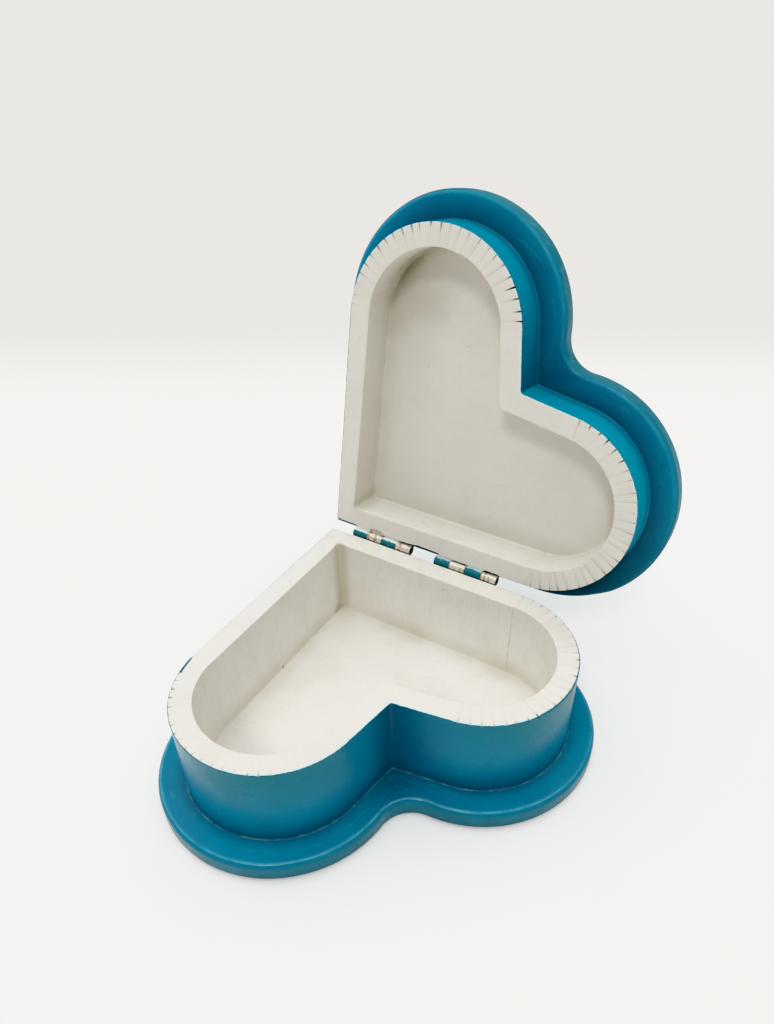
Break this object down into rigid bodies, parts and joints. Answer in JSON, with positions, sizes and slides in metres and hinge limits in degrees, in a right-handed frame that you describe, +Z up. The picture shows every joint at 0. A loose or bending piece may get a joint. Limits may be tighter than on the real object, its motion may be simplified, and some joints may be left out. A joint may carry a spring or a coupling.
{
  "type": "heart-shaped wooden trinket box",
  "caption": "Heart-shaped wooden trinket box with a hinged lid, painted teal outside and cream inside, that stands on its base board and holds jewellery and keepsakes.",
  "frame": {"origin": "on the underside of the base board, below the middle of the wall outline", "axes": "+Z up; +X along the hinge side, away from the heart's tip; +Y from the middle of the heart towards the hinge side"},
  "size_m": [0.1316, 0.1718, 0.1584],
  "materials": {
    "teal_painted_wood": "satin teal paint brushed by hand over wood",
    "teal_and_cream_painted_wood": "satin teal paint outside, matt cream paint on the rim and inside",
    "teal_painted_brass": "satin teal paint over brass",
    "bare_brass": "bare brass, lightly worn",
    "pin_and_nail_steel": "dull bright steel"
  },
  "bodies": {
    "base": {"base_board": "teal_painted_wood", "base_wall_left": "teal_and_cream_painted_wood", "base_wall_right": "teal_and_cream_painted_wood", "hinge_left_base_leaf": "teal_painted_brass", "hinge_left_base_nail_1": "pin_and_nail_steel", "hinge_left_base_nail_2": "pin_and_nail_steel", "hinge_left_pin": "pin_and_nail_steel", "hinge_right_base_leaf": "teal_painted_brass", "hinge_right_base_nail_1": "pin_and_nail_steel", "hinge_right_base_nail_2": "pin_and_nail_steel", "hinge_right_pin": "pin_and_nail_steel"},
    "lid": {"lid_board": "teal_painted_wood", "lid_wall_left": "teal_and_cream_painted_wood", "lid_wall_right": "teal_and_cream_painted_wood", "hinge_left_lid_leaf": "bare_brass", "hinge_left_lid_nail_1": "pin_and_nail_steel", "hinge_left_lid_nail_2": "pin_and_nail_steel", "hinge_right_lid_leaf": "bare_brass", "hinge_right_lid_nail_1": "pin_and_nail_steel", "hinge_right_lid_nail_2": "pin_and_nail_steel"}
  },
  "joints": [
    {"name": "lid_hinge", "type": "hinge", "parent": "base", "child": "lid", "pos_m": [0, 0.0586, 0.04045], "axis": [1, 0, 0], "range_deg": [0, 102]}
  ]
}
